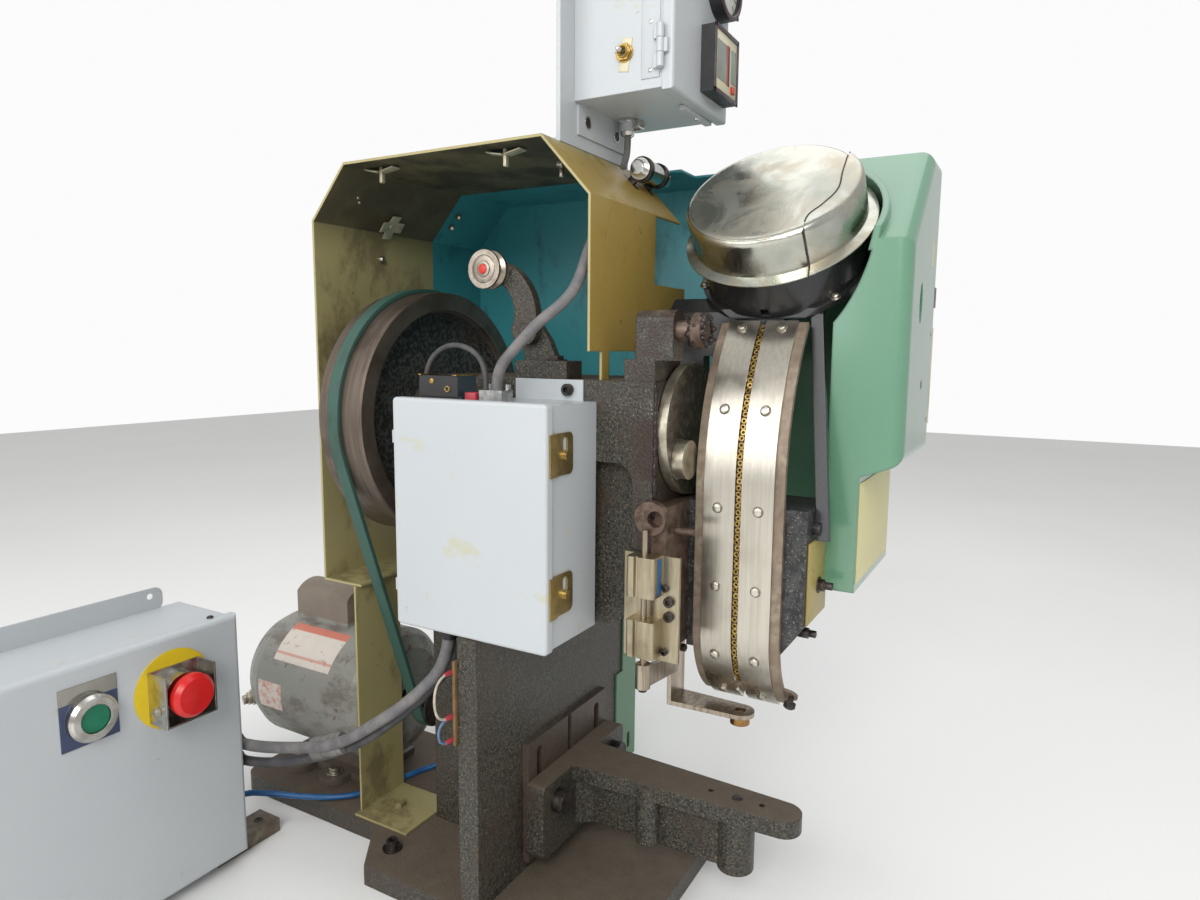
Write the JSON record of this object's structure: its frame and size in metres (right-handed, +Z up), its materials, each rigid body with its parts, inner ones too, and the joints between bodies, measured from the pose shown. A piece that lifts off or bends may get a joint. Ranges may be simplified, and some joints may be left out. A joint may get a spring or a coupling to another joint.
{
  "type": "eyelet punch press",
  "caption": "Bench eyelet punch press with tilted hopper, curved raceway, crank and flywheel under a hood, C-shaped cast frame, motor and wired operator station.",
  "frame": {"origin": "on the table under the base plate, midway between its four bolts", "axes": "+Z up, -Y to the operator's side, +X away from the junction box; X = 0 is the plane of crank, ram and lower arm"},
  "size_m": [0.829, 0.918, 1.128],
  "materials": {
    "casting": "hammertone grey-green enamel, dusty",
    "oiled_steel": "dark oiled steel with brown grease",
    "steel": "brushed yellowish steel",
    "bronze": "dull bronze",
    "stainless": "polished stainless, lightly scratched",
    "black_paint": "black enamel, worn",
    "guard_green": "glossy green enamel",
    "cover_teal": "teal enamel",
    "hood_olive": "olive enamel with dirt and rust",
    "wheel_iron": "machined rim, dark speckled web",
    "belt_green": "green round-edged flat belt",
    "box_blue": "light blue-grey enamel, scuffed",
    "zinc": "yellow zinc plating",
    "aluminium": "tan aluminium",
    "motor_grey": "grey enamel with rust",
    "plastic_black": "black plastic",
    "cable_grey": "grey cable jacket",
    "tube_blue": "blue air tube",
    "chrome": "bright plated metal",
    "button_green": "green plastic",
    "button_red": "red plastic"
  },
  "bodies": {
    "base": {"base_plate": "casting", "press_frame": "casting", "lower_arm": "casting", "front_bracket": "casting", "rear_bracket": "casting", "base_bolts": "oiled_steel", "arm_bolts": "oiled_steel", "crank_bushes": "bronze", "lower_die": "oiled_steel", "gib_plate": "oiled_steel", "spindle_block": "casting", "hopper_arm": "black_paint", "hopper_bowl": "black_paint", "lid_segment": "stainless", "front_guard": "guard_green", "guard_bar": "black_paint", "far_cover": "cover_teal", "lower_cover": "guard_green", "hood": "hood_olive", "hood_strut": "hood_olive", "cylinder_block": "aluminium", "box_body": "box_blue", "terminal_block": "plastic_black", "motor": "motor_grey", "belt": "belt_green", "control_post": "box_blue", "control_box": "box_blue", "station_body": "box_blue", "station_foot": "steel", "conduit_main": "cable_grey", "conduit_branch": "cable_grey", "hood_cable": "cable_grey", "thin_cable": "plastic_black", "blue_tube": "tube_blue", "pigtail": "cable_grey"},
    "crank": {"crankshaft": "oiled_steel", "flywheel": "wheel_iron"},
    "roller": {"crank_roller": "steel"},
    "motor_drive": {"motor_pulley": "oiled_steel"},
    "ram": {"ram": "steel"},
    "probe": {"guide_rod": "steel", "probe_bracket": "steel", "probe_bush": "bronze"},
    "raceway": {"raceway_back": "oiled_steel", "raceway_covers": "steel"},
    "thumb": {"thumb_screw": "oiled_steel"},
    "feed": {"feed_shaft": "oiled_steel"},
    "lever": {"swing_lever": "casting"},
    "idler": {"grooved_roller": "chrome"},
    "rotor": {"hopper_rotor": "aluminium"},
    "lid": {"hopper_lid": "stainless"},
    "box_cover": {"box_door": "box_blue", "box_clamps": "zinc"},
    "panel_cover": {"control_door": "box_blue", "door_instruments": "plastic_black"},
    "toggle": {"toggle_lever": "chrome"},
    "station_cover": {"station_door": "box_blue", "station_fittings": "chrome"},
    "start": {"start_button": "button_green"},
    "estop": {"estop_button": "button_red"}
  },
  "joints": [
    {"name": "crank_spin", "type": "hinge", "parent": "base", "child": "crank", "pos_m": [0, 0, 0.56], "axis": [0, 1, 0], "continuous": true},
    {"name": "roller_spin", "type": "hinge", "parent": "crank", "child": "roller", "pos_m": [-0.03913, -0.19, 0.53051], "axis": [0, 1, 0], "continuous": true},
    {"name": "motor_spin", "type": "hinge", "parent": "base", "child": "motor_drive", "pos_m": [0, 0.208, 0.147], "axis": [0, 1, 0], "continuous": true},
    {"name": "ram_stroke", "type": "slide", "parent": "base", "child": "ram", "axis": [0, 0, -1], "range_m": [0, 0.13]},
    {"name": "probe_drop", "type": "slide", "parent": "base", "child": "probe", "axis": [0, 0, -1], "range_m": [0, 0.055]},
    {"name": "raceway_swing", "type": "hinge", "parent": "base", "child": "raceway", "pos_m": [0.0485, -0.246, 0.6655], "axis": [0, 1, 0], "range_deg": [0, 7.8]},
    {"name": "thumb_turn", "type": "hinge", "parent": "raceway", "child": "thumb", "pos_m": [0.00696, -0.3015, 0.27146], "axis": [-0.7071, 0, -0.7071], "continuous": true},
    {"name": "feed_rock", "type": "hinge", "parent": "base", "child": "feed", "pos_m": [-0.062, -0.19, 0.667], "axis": [0, 1, 0], "range_deg": [-30, 30]},
    {"name": "lever_swing", "type": "hinge", "parent": "base", "child": "lever", "pos_m": [-0.06, 0.002, 0.668], "axis": [1, 0, 0], "range_deg": [-12, 12]},
    {"name": "idler_spin", "type": "hinge", "parent": "lever", "child": "idler", "pos_m": [-0.074, 0.046, 0.7365], "axis": [1, 0, 0], "continuous": true},
    {"name": "rotor_spin", "type": "hinge", "parent": "base", "child": "rotor", "pos_m": [0.10537, -0.246, 0.75122], "axis": [-0.6671, 0, 0.745], "continuous": true},
    {"name": "lid_turn", "type": "hinge", "parent": "base", "child": "lid", "pos_m": [0.042, -0.246, 0.822], "axis": [-0.6671, 0, 0.745], "range_deg": [0, 80]},
    {"name": "box_door_hinge", "type": "hinge", "parent": "base", "child": "box_cover", "pos_m": [-0.167, 0.102, 0.466], "axis": [0, 0, -1], "range_deg": [0, 110]},
    {"name": "panel_door_hinge", "type": "hinge", "parent": "base", "child": "panel_cover", "pos_m": [-0.0415, -0.152, 1.02], "axis": [0, 0, -1], "range_deg": [0, 110]},
    {"name": "toggle_flip", "type": "hinge", "parent": "base", "child": "toggle", "pos_m": [-0.035, -0.108, 0.958], "axis": [0, 1, 0], "range_deg": [-12, 12]},
    {"name": "station_door_hinge", "type": "hinge", "parent": "base", "child": "station_cover", "pos_m": [-0.531, 0.331, 0.17], "axis": [0, 0, -1], "range_deg": [0, 100]},
    {"name": "start_push", "type": "slide", "parent": "station_cover", "child": "start", "axis": [0, 1, 0], "range_m": [0, 0.0035], "stiffness_N_per_m": 300, "springref_m": -0.002},
    {"name": "estop_push", "type": "slide", "parent": "station_cover", "child": "estop", "axis": [0, 1, 0], "range_m": [0, 0.005]}
  ],
  "couplings": [
    {"joint": "motor_spin", "follows": "crank_spin", "ratio": 6.2569}
  ]
}
